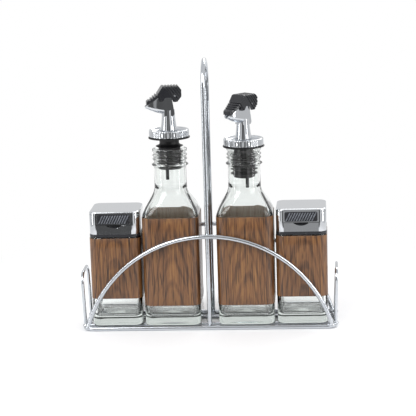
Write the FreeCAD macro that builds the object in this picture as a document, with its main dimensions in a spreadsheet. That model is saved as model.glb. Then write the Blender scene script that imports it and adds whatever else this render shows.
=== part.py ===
import FreeCAD, Part
import math
import os
import Sketcher

# Cruet set: a plated wire rack with a carrying loop, two square glass cruets with
# flap pourers and two square glass shakers with flip lids.
# Origin: centre of the footprint, on the surface the rack stands on.
# X runs along the rack, -Y is the front, +Z is up. Millimetres.

driving_sizes = {
    # rack
    "rackWire": 4.0,
    "floorWire": 3.0,
    "loopWire": 3.0,
    "rimCorner": 8.0,
    "sideRoom": 3.0,
    "endRoom": 5.0,
    "archInset": 2.5,
    "archRise": 83.0,
    "endLoopTop": 52.0,
    "endLoopBend": 9.0,
    "endLoopLean": 2.0,
    "handleTop": 240.0,
    "weldSink": 0.3,
    "floorWireOffset": 13.0,
    # where the glass stands
    "standGap": 0.3,
    "handleRoom": 6.0,
    "glassRoom": 2.5,
    # cruet glass
    "cruetWidth": 50.0,
    "cruetCorner": 8.0,
    "cruetBody": 97.0,
    "shoulderRise": 26.0,
    "neckDiameter": 29.0,
    "cruetHeight": 157.0,
    "threadDepth": 1.0,
    "threadHeight": 1.6,
    "beadDepth": 1.8,
    "beadHeight": 2.2,
    "beadDrop": 15.5,
    "lipHeight": 3.0,
    "finishChamfer": 0.4,
    "glassWall": 3.0,
    "glassFloor": 8.0,
    "heelRounding": 2.5,
    "cavityRounding": 4.0,
    # wood wraps
    "wrapThickness": 0.3,
    "wrapGap": 0.05,
    "cruetWrapBottom": 18.5,
    "cruetWrapTop": 98.0,
    "shakerWrapBottom": 25.0,
    "shakerWrapTop": 80.0,
    # pourer
    "fitGap": 0.3,
    "leftStopperLift": 9.0,
    "stopperLength": 28.5,
    "stopperShoulder": 1.0,
    "waistDiameter": 17.5,
    "waistLength": 6.0,
    "finDepth": 2.45,
    "finRoot": 2.2,
    "finPitch": 4.1,
    "noseChamfer": 1.5,
    "spigotDiameter": 9.2,
    "spigotLength": 8.0,
    "pressGap": 0.1,
    "channelDiameter": 7.0,
    "gasketThickness": 1.0,
    "gasketOverhang": 3.0,
    "flangeOverhang": 2.25,
    "flangeThickness": 6.5,
    "flangeDish": 2.0,
    "flangeRim": 1.0,
    "breatherDiameter": 3.0,
    "breatherTurn": 65.0,
    "breatherReach": 9.0,
    "airHole": 2.0,
    "columnBase": 15.0,
    "columnTop": 11.6,
    "columnHeight": 24.0,
    "columnFoot": 1.2,
    "columnSweep": 90.0,
    "spoutWidth": 11.0,
    "beakLength": 20.5,
    "beakTip": 28.0,
    "mouthSlope": 0.72,
    "mouthGap": 0.35,
    "spoutWall": 1.2,
    "pinBack": 5.5,
    "pinLevel": 37.0,
    "pinDiameter": 2.0,
    "pinRunning": 0.05,
    "pinBoss": 2.0,
    "flapWidth": 15.0,
    "flapPlate": 3.0,
    "flapTop": 45.6,
    "flapRear": 11.5,
    "flapKnee": 9.0,
    "flapShort": 1.2,
    "flapRounding": 1.8,
    "cheekDrop": 5.4,
    "ribPitch": 2.6,
    "ribGroove": 1.1,
    "ribDepth": 0.7,
    "weightLength": 7.6,
    "weightHeight": 1.8,
    "leftBeakTurn": 190.0,
    "rightBeakTurn": 228.0,
    # shaker glass
    "shakerWidth": 45.0,
    "shakerCorner": 7.0,
    "shakerBody": 81.0,
    "shakerShoulder": 4.0,
    "shakerNeck": 36.0,
    "shakerNeckHeight": 8.0,
    "shakerBore": 29.0,
    # shaker cap
    "capInset": 0.2,
    "capRing": 2.6,
    "capCup": 40.4,
    "sieveThickness": 1.6,
    "sieveHole": 2.6,
    "sieveCircle": 15.0,
    "capWall": 1.6,
    "shellHeight": 17.6,
    "lidThickness": 2.4,
    "lidGap": 0.2,
    "lipWidth": 32.0,
    "lipDrop": 9.4,
    "lipGap": 0.4,
    "scallopWidth": 14.0,
    "scallopDepth": 2.6,
    "lidPin": 1.8,
    "lidPinInset": 1.9,
    "lidPinDrop": 2.2,
    "knuckleDiameter": 3.8,
    "knuckleLength": 20.0,
    "earLength": 3.0,
    "gripWidth": 29.0,
    "gripHeight": 8.6,
    "gripPlate": 0.5,
    "gripRib": 0.8,
    "gripPitch": 2.2,
    "gripRibWidth": 1.1,
    "gripMargin": 0.4,
    "sealDiameter": 30.0,
    "sealWall": 2.0,
}


class Size:
    """A length with the sheet expression that it comes from."""

    def __init__(self, number, text):
        self.number = float(number)
        self.text = text

    def joined(self, other, sign, number):
        return Size(number, "(%s %s %s)" % (self.text, sign, as_size(other).text))

    def __add__(self, other):
        return self.joined(other, "+", self.number + as_size(other).number)

    def __sub__(self, other):
        return self.joined(other, "-", self.number - as_size(other).number)

    def __mul__(self, other):
        return self.joined(other, "*", self.number * as_size(other).number)

    def __truediv__(self, other):
        return self.joined(other, "/", self.number / as_size(other).number)

    def __radd__(self, other):
        return as_size(other) + self

    def __rsub__(self, other):
        return as_size(other) - self

    def __rmul__(self, other):
        return as_size(other) * self

    def __neg__(self):
        return Size(-self.number, "(0 - %s)" % self.text)


def as_size(value):
    if isinstance(value, Size):
        return value
    return Size(value, "%.6g" % value)


doc = FreeCAD.newDocument("CruetSet")
sheet = doc.addObject("Spreadsheet::Sheet", "Sizes")


class Sheet:
    """Gives each driving dimension by its alias."""


s = Sheet()
for row, (alias, value) in enumerate(driving_sizes.items(), start=1):
    sheet.set("A%d" % row, alias)
    sheet.set("B%d" % row, str(value))
    sheet.setAlias("B%d" % row, alias)
    setattr(s, alias, Size(value, "Sizes." + alias))
doc.recompute()

sub_parts = []


def keep(item, label, x=0, y=0, z=0, turn=0):
    """Names a finished sub-part and puts it in its place, turned about Z."""
    item.Label = label
    rotation = FreeCAD.Rotation(FreeCAD.Vector(0, 0, 1), as_size(turn).number)
    item.Placement = FreeCAD.Placement(FreeCAD.Vector(0, 0, 0), rotation)
    for axis, place in (("x", x), ("y", y), ("z", z)):
        item.setExpression("Placement.Base." + axis, as_size(place).text)
    sub_parts.append(item)
    return item


def new_body(name):
    return doc.addObject("PartDesign::Body", name)


def origin_plane(body, role):
    return [item for item in body.Origin.OriginFeatures if item.Role == role][0]


def new_sketch(body, role, off=0, across=0, up=0):
    """A sketch on one of the body's own origin planes, moved off and along that plane."""
    sketch = body.newObject("Sketcher::SketchObject", "Sketch")
    sketch.AttachmentSupport = [(origin_plane(body, role), "")]
    sketch.MapMode = "FlatFace"
    for axis, place in (("x", across), ("y", up), ("z", off)):
        if as_size(place).number:
            sketch.setExpression("AttachmentOffset.Base." + axis, as_size(place).text)
    return sketch


def bind(sketch, kind, places, size):
    index = sketch.addConstraint(Sketcher.Constraint(kind, *places, size.number))
    sketch.setExpression("Constraints[%d]" % index, size.text)


def fix_point(sketch, geometry, end, x, y):
    """Ties a point to the sketch origin by its two coordinates."""
    for kind, value, axis in (("DistanceX", x, -2), ("DistanceY", y, -1)):
        if isinstance(value, (int, float)) and value == 0:
            sketch.addConstraint(Sketcher.Constraint("PointOnObject", geometry, end, axis))
            continue
        value = as_size(value)
        if value.number >= 0:
            bind(sketch, kind, (-1, 1, geometry, end), value)
        else:
            bind(sketch, kind, (geometry, end, -1, 1), -value)


def arc_between(start, end, radius, left):
    """The minor arc from start to end, turning left or right, and whether its ends swap."""
    middle = (start + end) * 0.5
    half = (end - start) * 0.5
    side = FreeCAD.Vector(-half.y, half.x, 0).normalize()
    reach = math.sqrt(max(radius * radius - half.Length * half.Length, 0))
    centre = middle + side * (reach if left else -reach)
    first, last = (start, end) if left else (end, start)
    angles = [math.atan2(p.y - centre.y, p.x - centre.x) for p in (first, last)]
    circle = Part.Circle(centre, FreeCAD.Vector(0, 0, 1), radius)
    return Part.ArcOfCircle(circle, angles[0], angles[1])


def draw(sketch, points, arcs=None, closed=True):
    """Lines through the points; arcs maps a span's number to its radius and its turn."""
    arcs = arcs or {}
    spots = [FreeCAD.Vector(as_size(x).number, as_size(y).number, 0) for x, y in points]
    spans = len(points) if closed else len(points) - 1
    ends = []
    for i in range(spans):
        start, end = spots[i], spots[(i + 1) % len(spots)]
        if i in arcs:
            radius, turn = arcs[i]
            left = turn == "left"
            index = sketch.addGeometry(arc_between(start, end, as_size(radius).number, left), False)
            ends.append((index, 1, 2) if left else (index, 2, 1))
        else:
            index = sketch.addGeometry(Part.LineSegment(start, end), False)
            ends.append((index, 1, 2))
    for i in range(spans if closed else spans - 1):
        here, following = ends[i], ends[(i + 1) % spans]
        join = Sketcher.Constraint("Coincident", here[0], here[2], following[0], following[1])
        sketch.addConstraint(join)
    for i, (x, y) in enumerate(points):
        if i < spans:
            fix_point(sketch, ends[i][0], ends[i][1], x, y)
        else:
            fix_point(sketch, ends[-1][0], ends[-1][2], x, y)
    for i, (radius, turn) in arcs.items():
        chord = spots[(i + 1) % len(spots)] - spots[i]
        if chord.Length < as_size(radius).number * 2 - 0.0001:
            bind(sketch, "Radius", (ends[i][0],), as_size(radius))
        else:
            level = "Vertical" if abs(chord.x) < abs(chord.y) else "Horizontal"
            sketch.addConstraint(Sketcher.Constraint(level, ends[i][0], 3, ends[i][0], 1))
    return sketch


def draw_circle(sketch, diameter, x=0, y=0):
    centre = FreeCAD.Vector(as_size(x).number, as_size(y).number, 0)
    radius = as_size(diameter).number / 2
    index = sketch.addGeometry(Part.Circle(centre, FreeCAD.Vector(0, 0, 1), radius), False)
    bind(sketch, "Diameter", (index,), as_size(diameter))
    fix_point(sketch, index, 3, x, y)
    return sketch


def draw_rounded(sketch, width, height, corner):
    """A rectangle with round corners, centred on the sketch origin."""
    x, y, r = as_size(width) / 2, as_size(height) / 2, as_size(corner)
    points = [
        (-(x - r), -y), (x - r, -y), (x, -(y - r)), (x, y - r),
        (x - r, y), (-(x - r), y), (-x, y - r), (-x, -(y - r)),
    ]
    return draw(sketch, points, {1: (r, "left"), 3: (r, "left"), 5: (r, "left"), 7: (r, "left")})


def feature(body, kind, sketch, **settings):
    item = body.newObject("PartDesign::" + kind, kind)
    item.Profile = sketch
    for name, value in settings.items():
        setattr(item, name, value)
    sketch.Visibility = False
    return item


def pad(body, sketch, length, kind="Pad", symmetric=False, reverse=False):
    item = feature(body, kind, sketch, Reversed=reverse)
    item.SideType = "Symmetric" if symmetric else "One side"
    item.setExpression("Length", as_size(length).text)
    return item


def pocket(body, sketch, length, symmetric=False, reverse=False):
    """Cuts below the sketch, or above it when reversed; the volume has to fall."""
    doc.recompute()
    before = body.Shape.Volume
    item = pad(body, sketch, length, "Pocket", symmetric, reverse)
    doc.recompute()
    if body.Shape.Volume > before - 0.001:
        raise RuntimeError("a pocket cut nothing from " + body.Name)
    return item


def revolve(body, sketch, kind="Revolution"):
    return feature(body, kind, sketch, ReferenceAxis=(sketch, ["V_Axis"]), Angle=360)


def loft(body, sketches, kind="AdditiveLoft"):
    item = feature(body, kind, sketches[0], Sections=sketches[1:])
    for sketch in sketches:
        sketch.Visibility = False
    return item


def fillet(body, radius, chosen):
    """Rounds the edges of the body's tip that the test picks by their centre."""
    doc.recompute()
    tip = body.Tip
    names = [
        "Edge%d" % number
        for number, edge in enumerate(tip.Shape.Edges, start=1)
        if chosen(edge)
    ]
    item = body.newObject("PartDesign::Fillet", "Fillet")
    item.Base = (tip, names)
    item.setExpression("Radius", as_size(radius).text)
    return item


def repeat(body, original, role, pitch, count):
    """Copies one feature along an origin axis of its body."""
    item = body.newObject("PartDesign::LinearPattern", "LinearPattern")
    item.Originals = [original]
    item.Direction = (origin_plane(body, role), [""])
    item.Mode = "Spacing"
    item.setExpression("Offset", as_size(pitch).text)
    item.Occurrences = count
    body.Tip = item
    return item


def mirrored(body, original, role):
    item = body.newObject("PartDesign::Mirrored", "Mirrored")
    item.Originals = [original]
    item.MirrorPlane = (origin_plane(body, role), [""])
    body.Tip = item
    return item


# Places that follow from the glass: two cruets beside the handle, a shaker beyond each

cruet_place = s.rackWire / 2 + s.handleRoom + s.cruetWidth / 2
shaker_place = cruet_place + s.cruetWidth / 2 + s.glassRoom + s.shakerWidth / 2
rim_half_length = shaker_place + s.shakerWidth / 2 + s.endRoom + s.loopWire / 2
rim_half_depth = s.cruetWidth / 2 + s.sideRoom

# Rack: bent round wire, plated after welding


def bent_wire(name, profile_plane, centre, diameter, path_plane, points, arcs, mirror, path_off=0):
    """Half a bend swept from its middle, with the other half mirrored."""
    body = new_body(name)
    section = draw_circle(new_sketch(body, profile_plane), diameter, *centre)
    spine = draw(new_sketch(body, path_plane, path_off), points, arcs, closed=False)
    doc.recompute()
    pipe = feature(body, "AdditivePipe", section)
    pipe.Spine = (spine, ["Edge%d" % (i + 1) for i in range(len(points) - 1)])
    spine.Visibility = False
    mirrored(body, pipe, mirror)
    return body


rim_level = s.rackWire / 2


def base_rim():
    x, y, r = rim_half_length, rim_half_depth, s.rimCorner
    points = [(0, -y), (x - r, -y), (x, -(y - r)), (x, y - r), (x - r, y), (0, y)]
    arcs = {1: (r, "left"), 3: (r, "left")}
    body = bent_wire("BaseRim", "YZ_Plane", (-y, 0), s.rackWire, "XY_Plane", points, arcs, "YZ_Plane")
    keep(body, "base_rim", z=rim_level)


def arch(label, side):
    """A circular arc of wire from corner to corner of the rim."""
    half, rise = rim_half_length - s.archInset, s.archRise
    radius = (half * half + rise * rise) / (2 * rise)
    points = [(0, rise), (half, 0)]
    body = bent_wire(
        "Arch", "YZ_Plane", (0, rise), s.rackWire, "XZ_Plane", points, {0: (radius, "right")}, "YZ_Plane"
    )
    keep(body, label, y=side * rim_half_depth, z=rim_level)


def end_loop(label, side):
    """A low guard that keeps the shakers in; it leans outward a little."""
    top = s.endLoopTop - rim_level - s.loopWire / 2
    half, bend = rim_half_depth - s.rimCorner, s.endLoopBend
    points = [(0, top), (half - bend, top), (half, top - bend), (half, 0)]
    body = bent_wire(
        "EndLoop", "XZ_Plane", (0, top), s.loopWire, "YZ_Plane", points, {1: (bend, "right")}, "XZ_Plane"
    )
    keep(body, label, x=side * rim_half_length, z=rim_level)
    body.Placement.Rotation = FreeCAD.Rotation(FreeCAD.Vector(0, 1, 0), side * s.endLoopLean.number)


def handle_loop():
    """One tall loop: its legs stand inside the arches and the rim and are welded to them."""
    leg = rim_half_depth - s.rackWire + s.weldSink
    top = s.handleTop - s.rackWire / 2
    points = [(0, top), (leg, top - leg), (leg, s.weldSink)]
    body = bent_wire(
        "Handle", "XZ_Plane", (0, top), s.rackWire, "YZ_Plane", points, {0: (leg, "right")}, "XZ_Plane"
    )
    keep(body, "handle_loop")


def floor_wire(label, side):
    wire = doc.addObject("Part::Cylinder", "FloorWire")
    wire.setExpression("Radius", (s.floorWire / 2).text)
    half = rim_half_length - s.rackWire / 2 + s.weldSink
    wire.setExpression("Height", (half * 2).text)
    keep(wire, label, x=-half, y=side * s.floorWireOffset, z=s.floorWire / 2)
    wire.Placement.Rotation = FreeCAD.Rotation(FreeCAD.Vector(0, 1, 0), 90)


# Glass

glass_level = s.floorWire + s.standGap


def near(value, target, reach=0.01):
    return abs(value - as_size(target).number) < reach


def level_edges(height):
    """Edges that lie flat at one height."""
    return lambda edge: near(edge.BoundBox.ZMin, height) and near(edge.BoundBox.ZMax, height)


def shoulder_sections(body, inset, low):
    """Outlines from the square body to the round neck, eased at both ends."""
    sections = []
    steps = 4
    for step in range(steps + 1):
        t = step / steps
        square = 1 - t * t * (3 - 2 * t)
        wide = s.cruetWidth * square + s.neckDiameter * (1 - square) - inset * 2
        corner = (s.cruetCorner - inset) * square + (s.neckDiameter / 2 - inset) * (0.99 * (1 - square))
        sketch = new_sketch(body, "XY_Plane", low + s.shoulderRise * t)
        sections.append(draw_rounded(sketch, wide, wide, corner))
    return sections


finish_diameter = s.neckDiameter + s.threadDepth * 2
cruet_bore = finish_diameter - s.glassWall * 2


def neck_outline(sketch):
    """Half section of the neck and its finish: collar bead, two thread rings and the lip."""
    neck, lip, chamfer = s.neckDiameter / 2, finish_diameter / 2, s.finishChamfer
    points = [(0, s.cruetBody + s.shoulderRise), (neck, s.cruetBody + s.shoulderRise)]
    thread_drop = (s.beadDrop - s.beadHeight + s.lipHeight) / 3
    rings = (
        (s.beadDrop, s.beadHeight, s.beadDepth),
        (s.lipHeight + thread_drop + s.threadHeight, s.threadHeight, s.threadDepth),
        (s.lipHeight + thread_drop - s.threadHeight, s.threadHeight, s.threadDepth),
    )
    for drop, tall, proud in rings:
        foot = s.cruetHeight - drop
        points += [(neck, foot), (neck + proud, foot + chamfer)]
        points += [(neck + proud, foot + tall - chamfer), (neck, foot + tall)]
    points += [(neck, s.cruetHeight - s.lipHeight), (lip, s.cruetHeight - s.lipHeight + chamfer)]
    points += [(lip, s.cruetHeight - chamfer), (lip - chamfer, s.cruetHeight), (0, s.cruetHeight)]
    return draw(sketch, points)


def cruet_bottle(label, x):
    body = new_body("Bottle")
    outside = draw_rounded(new_sketch(body, "XY_Plane"), s.cruetWidth, s.cruetWidth, s.cruetCorner)
    pad(body, outside, s.cruetBody)
    fillet(body, s.heelRounding, level_edges(0))
    loft(body, shoulder_sections(body, as_size(0), s.cruetBody))
    revolve(body, neck_outline(new_sketch(body, "XZ_Plane")))
    inside = s.cruetWidth - s.glassWall * 2
    hollow = new_sketch(body, "XY_Plane", s.cruetBody)
    cavity = draw_rounded(hollow, inside, inside, s.cruetCorner - s.glassWall)
    pocket(body, cavity, s.cruetBody - s.glassFloor)
    fillet(body, s.cavityRounding, level_edges(s.glassFloor))
    loft(body, shoulder_sections(body, s.glassWall, s.cruetBody), "SubtractiveLoft")
    bore = draw_circle(new_sketch(body, "XY_Plane", s.cruetHeight), cruet_bore)
    pocket(body, bore, s.cruetHeight - s.cruetBody - s.shoulderRise)
    keep(body, label, x=x, z=glass_level)


def wrap(label, x, width, corner, low, high):
    """A printed wood-grain sleeve round the glass."""
    body = new_body("Wrap")
    inner, outer = width + s.wrapGap * 2, width + (s.wrapGap + s.wrapThickness) * 2
    rounding = corner + s.wrapGap
    outside = draw_rounded(new_sketch(body, "XY_Plane"), outer, outer, rounding + s.wrapThickness)
    pad(body, outside, high - low)
    pocket(body, draw_rounded(new_sketch(body, "XY_Plane"), inner, inner, rounding), high - low, reverse=True)
    keep(body, label, x=x, z=glass_level + low)


def shaker_jar(label, x):
    body = new_body("Jar")
    outside = draw_rounded(new_sketch(body, "XY_Plane"), s.shakerWidth, s.shakerWidth, s.shakerCorner)
    pad(body, outside, s.shakerBody)
    fillet(body, s.heelRounding, level_edges(0))
    neck = draw_circle(new_sketch(body, "XY_Plane", s.shakerBody), s.shakerNeck)
    pad(body, neck, s.shakerNeckHeight)
    inside = s.shakerWidth - s.glassWall * 2
    top = s.shakerBody - s.shakerShoulder
    hollow = new_body("Hollow")
    floor = new_sketch(hollow, "XY_Plane", s.glassFloor)
    cavity = draw_rounded(floor, inside, inside, s.shakerCorner - s.glassWall)
    pad(hollow, cavity, top - s.glassFloor)
    fillet(hollow, s.cavityRounding * 0.9, level_edges(s.glassFloor))
    fillet(hollow, s.cavityRounding * 0.9, level_edges(top))
    join = body.newObject("PartDesign::Boolean", "Boolean")
    join.Type = "Cut"
    join.addObjects([hollow])
    mouth = draw_circle(new_sketch(body, "XY_Plane", s.shakerBody + s.shakerNeckHeight), s.shakerBore)
    pocket(body, mouth, s.shakerNeckHeight + s.shakerShoulder + 1)
    keep(body, label, x=x, z=glass_level)


# Pourer, drawn with its beak along +X and its flange resting on the level z = 0

stopper_core = cruet_bore - (s.fitGap + s.finDepth) * 2
spigot_hole = s.spigotDiameter + s.pressGap * 2
breather_place = (spigot_hole + stopper_core) / 4
flange_floor = s.flangeThickness - s.flangeDish
fin_count = 5


def breather_spot():
    turn = math.radians(s.breatherTurn.number)
    return (breather_place * math.cos(turn), breather_place * math.sin(turn))


def pourer_stopper():
    """Moulded rubber: a waist, a tapered nose and pointed fins that grip the bore."""
    body = new_body("Stopper")
    core, waist, nose = stopper_core / 2, s.waistDiameter / 2, s.noseChamfer
    points = [(0, 0), (core + s.stopperShoulder, 0), (waist, -s.waistLength / 2), (waist, -s.waistLength)]
    for number in range(fin_count):
        root = -(s.waistLength + s.finRoot / 2 + s.finPitch * number)
        points += [(core, root), (core + s.finDepth, root - s.finRoot / 2), (core, root - s.finRoot)]
    points += [(core, -(s.stopperLength - nose)), (core - nose, -s.stopperLength), (0, -s.stopperLength)]
    revolve(body, draw(new_sketch(body, "XZ_Plane"), points))
    pocket(body, draw_circle(new_sketch(body, "XY_Plane"), spigot_hole), s.stopperLength)
    width = s.breatherDiameter + s.pressGap / 2
    breather = draw_circle(new_sketch(body, "XY_Plane"), width, *breather_spot())
    pocket(body, breather, s.stopperLength)
    return body


def pourer_gasket():
    body = new_body("Gasket")
    sketch = draw_circle(new_sketch(body, "XY_Plane"), finish_diameter + s.gasketOverhang * 2)
    draw_circle(sketch, stopper_core + (s.stopperShoulder + s.fitGap) * 2)
    pad(body, sketch, s.gasketThickness, reverse=True)
    return body


def pourer_flange():
    """A chromed disc with a rounded foot, a thin rim and a dished top."""
    body = new_body("Flange")
    rim, edge = finish_diameter / 2 + s.flangeOverhang, s.flangeRim
    inner = spigot_hole / 2
    points = [
        (inner, 0), (rim - edge, 0), (rim, edge), (rim, s.flangeThickness), (rim - edge, s.flangeThickness),
        (rim - edge * 2, flange_floor), (inner, flange_floor),
    ]
    revolve(body, draw(new_sketch(body, "XZ_Plane"), points, {1: (edge, "left")}))
    air = draw_circle(new_sketch(body, "XY_Plane"), s.airHole, *breather_spot())
    pocket(body, air, s.flangeThickness, reverse=True)
    return body


def mouth_level(x):
    """Height of the sloping mouth of the beak at a distance in front of the column."""
    return s.beakTip + (s.beakLength - x) * s.mouthSlope


def beak_outline(body, out, wide, drop, rise, inset):
    """A round-bottomed section of the beak: its reach, width, and depths below and above the tip."""
    across = s.spoutWidth * wide - inset * 2
    low, high = s.beakTip - drop + inset, s.beakTip + rise
    sketch = new_sketch(body, "YZ_Plane", out, up=(high + low) / 2)
    corner = min(across.number, (high - low).number) * 0.46
    return draw_rounded(sketch, across, high - low, corner)


def beak_sections(body, inset):
    """From the column out to the lip of the lower bill."""
    shapes = ((0.1, 1.0, 8.2, 12.2), (0.34, 0.99, 7.0, 12.0), (0.59, 0.91, 5.6, 9.5), (0.8, 0.76, 3.8, 6.0))
    sections = [beak_outline(body, s.beakLength * out, *shape, inset) for out, *shape in shapes]
    sections.append(beak_outline(body, s.beakLength, 0.5, 1.8, 3.0, inset * 0.8))
    return sections


def pourer_spout():
    """A tapered column with a spigot below and a duck-bill beak, open along its top."""
    body = new_body("Spout")
    spigot, base, top = s.spigotDiameter / 2, s.columnBase / 2, s.columnTop / 2
    points = [
        (0, -s.spigotLength), (spigot, -s.spigotLength), (spigot, flange_floor), (base, flange_floor),
        (base, flange_floor + s.columnFoot), (top, s.columnHeight), (0, s.columnHeight),
    ]
    revolve(body, draw(new_sketch(body, "XZ_Plane"), points, {4: (s.columnSweep, "right")}))
    back, level, boss = -s.pinBack, s.pinLevel, s.pinBoss
    foot, front = s.columnHeight - 5, 4.0
    head = [
        (front, foot), (front, level + 3.4), (0, level + 3.6), (back, level + boss), (back, level - boss),
        (back + 2.4, level - 2.4), (-5.2, foot + 2), (-front, foot),
    ]
    pad(body, draw(new_sketch(body, "XZ_Plane"), head, {3: (boss, "left")}), s.spoutWidth, symmetric=True)
    loft(body, beak_sections(body, as_size(0)))
    near_end, far_end, clear = front + 0.6, s.beakLength + 4, s.flapTop + 4
    above = [
        (near_end, mouth_level(near_end)), (far_end, mouth_level(far_end)),
        (far_end, clear), (near_end, clear),
    ]
    pocket(body, draw(new_sketch(body, "XZ_Plane"), above), s.spoutWidth + 4, symmetric=True)
    start = beak_outline(body, -1.0, 0.91, 6.5, 10.6, s.spoutWall)
    loft(body, [start] + beak_sections(body, s.spoutWall)[1:], "SubtractiveLoft")
    channel = draw_circle(new_sketch(body, "XY_Plane", -s.spigotLength), s.channelDiameter)
    pocket(body, channel, s.spigotLength + s.beakTip - 2, reverse=True)
    hinge = draw_circle(new_sketch(body, "XZ_Plane"), s.pinDiameter + s.pinRunning * 2, back, level)
    pocket(body, hinge, s.spoutWidth + 2, symmetric=True)
    return body


def pourer_breather():
    body = new_body("Breather")
    sketch = draw_circle(new_sketch(body, "XY_Plane"), s.breatherDiameter, *breather_spot())
    draw_circle(sketch, s.airHole - s.pressGap * 2, *breather_spot())
    pad(body, sketch, s.stopperLength + s.breatherReach, reverse=True)
    return body


def slanted(x, z, reach):
    """The point that lies up a rib from a point, square to the plate's slope."""
    return (x + s.mouthSlope * reach, z + reach)


def groove(x, z, slope, low, high):
    """A groove between two ribs, from one reach to another along the rib."""
    far_x, far_z = x + s.ribGroove, z - slope * s.ribGroove
    return [slanted(x, z, low), slanted(far_x, far_z, low), slanted(far_x, far_z, high), slanted(x, z, high)]


def rib_places():
    """Where the grooves leave the level top of the hood and the slope of the plate."""
    over = s.mouthGap + s.flapPlate
    places = [(s.ribPitch * number + 3.4 - s.flapRear, s.flapTop, 0) for number in range(5)]
    for number in range(4):
        x = s.flapKnee + 0.8 + s.ribPitch * (0.8 * number)
        places.append((x, mouth_level(x) + over, s.mouthSlope))
    return places


def pourer_flap():
    """A ribbed hood with cheeks beside the head and a thin plate over the beak."""
    body = new_body("Flap")
    back, level, top = -s.pinBack, s.pinLevel, s.flapTop
    under, over = s.mouthGap, s.mouthGap + s.flapPlate
    tip, knee, rear = s.beakLength - s.flapShort, s.flapKnee, -s.flapRear
    low = level - s.cheekDrop
    outline = [
        (tip, mouth_level(tip) + under), (tip, mouth_level(tip) + over), (knee, mouth_level(knee) + over),
        (knee - 4.0, top), (rear + 2.6, top), (rear, top - 3.4), (rear, low + 4.6), (back - 2.2, low),
        (back + 1.4, low), (back + 3.0, low + 4.0), (knee - 6.0, low + 4.0), (knee - 4.0, low + 0.6),
        (knee - 0.8, low + 0.6), (knee, low + 2.0), (knee, mouth_level(knee) + under),
    ]
    pad(body, draw(new_sketch(body, "XZ_Plane"), outline), s.flapWidth, symmetric=True)
    half = s.flapWidth / 2
    for side in (1, -1):
        taper = [
            (knee, side * half), (tip + 1, side * (half - 3.0)),
            (tip + 1, side * (half + 1)), (knee, side * (half + 1)),
        ]
        if side < 0:
            taper.reverse()
        pocket(body, draw(new_sketch(body, "XY_Plane"), taper), top + 5, reverse=True)
    fillet(body, s.flapRounding, lambda edge: edge.BoundBox.YLength < 0.01 and near(edge.BoundBox.ZMin, top))
    inside = s.spoutWidth + s.fitGap * 2
    room = [
        (rear - 1, low - 1), (rear - 1, level - 1.1), (back - 2.5, level - 1.1), (back - 2.5, level + 2.8),
        (back - 0.5, level + 4.0), (4.2, level + 4.2), (knee, mouth_level(knee) + under), (knee + 1, low - 1),
    ]
    pocket(body, draw(new_sketch(body, "XZ_Plane"), room), inside, symmetric=True)
    void = draw(new_sketch(body, "XZ_Plane"), weight_corners(s.pressGap / 2))
    pocket(body, void, s.spoutWidth + s.pressGap, symmetric=True)
    eye = draw_circle(new_sketch(body, "XZ_Plane"), s.pinDiameter + s.pressGap / 2, back, level)
    pocket(body, eye, s.flapWidth + 2, symmetric=True)
    across = new_sketch(body, "XZ_Plane")
    for place in rib_places():
        draw(across, groove(*place, -s.ribDepth, 2.0))
    pocket(body, across, s.flapWidth + 2, symmetric=True)
    for side in (1, -1):
        beside = new_sketch(body, "XZ_Plane", half * side)
        for place in rib_places():
            draw(beside, groove(*place, -(top - low + 2), 2.0))
        pocket(body, beside, s.ribDepth, reverse=side < 0)
    return body


def weight_corners(gap):
    """The steel bar moulded into the hood above the hinge."""
    left = -s.pinBack + 0.8 - gap
    right = left + s.weightLength + gap * 2
    top = s.flapTop - s.ribDepth - 0.9 + gap
    low = top - s.weightHeight - gap * 2
    return [(left, low), (right, low), (right, top), (left, top)]


def pourer_weight():
    body = new_body("Weight")
    pad(body, draw(new_sketch(body, "XZ_Plane"), weight_corners(as_size(0))), s.spoutWidth, symmetric=True)
    return body


def pourer_pin():
    body = new_body("HingePin")
    sketch = draw_circle(new_sketch(body, "XZ_Plane"), s.pinDiameter, -s.pinBack, s.pinLevel)
    pad(body, sketch, s.flapWidth - s.ribDepth * 2 - s.fitGap, symmetric=True)
    return body


def cruet(side, x, beak_turn, lift):
    cruet_bottle(side + "_cruet_bottle", x)
    wrap(side + "_cruet_wood_wrap", x, s.cruetWidth, s.cruetCorner, s.cruetWrapBottom, s.cruetWrapTop)
    level = glass_level + s.cruetHeight + s.fitGap + s.gasketThickness + lift
    pieces = (
        ("stopper", pourer_stopper), ("gasket", pourer_gasket), ("flange", pourer_flange),
        ("spout", pourer_spout), ("breather_tube", pourer_breather), ("flap", pourer_flap),
        ("flap_weight", pourer_weight), ("flap_pin", pourer_pin),
    )
    for name, make in pieces:
        keep(make(), side + "_pourer_" + name, x=x, z=level, turn=beak_turn)


# Shaker cap, drawn with the jar's foot on the level z = 0 and its grip towards -Y

cap_level = s.shakerBody + 0.1
ring_top = cap_level + s.capRing
shell_foot = ring_top + 0.05
shell_width = s.shakerWidth - s.capInset * 2
shell_corner = s.shakerCorner - s.capInset
shell_top = shell_foot + s.shellHeight
lid_level = shell_top + s.lidGap
sieve_level = s.shakerBody + s.shakerNeckHeight + s.fitGap
pin_y = shell_width / 2 - s.lidPinInset
pin_z = lid_level - s.lidPinDrop


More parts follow.
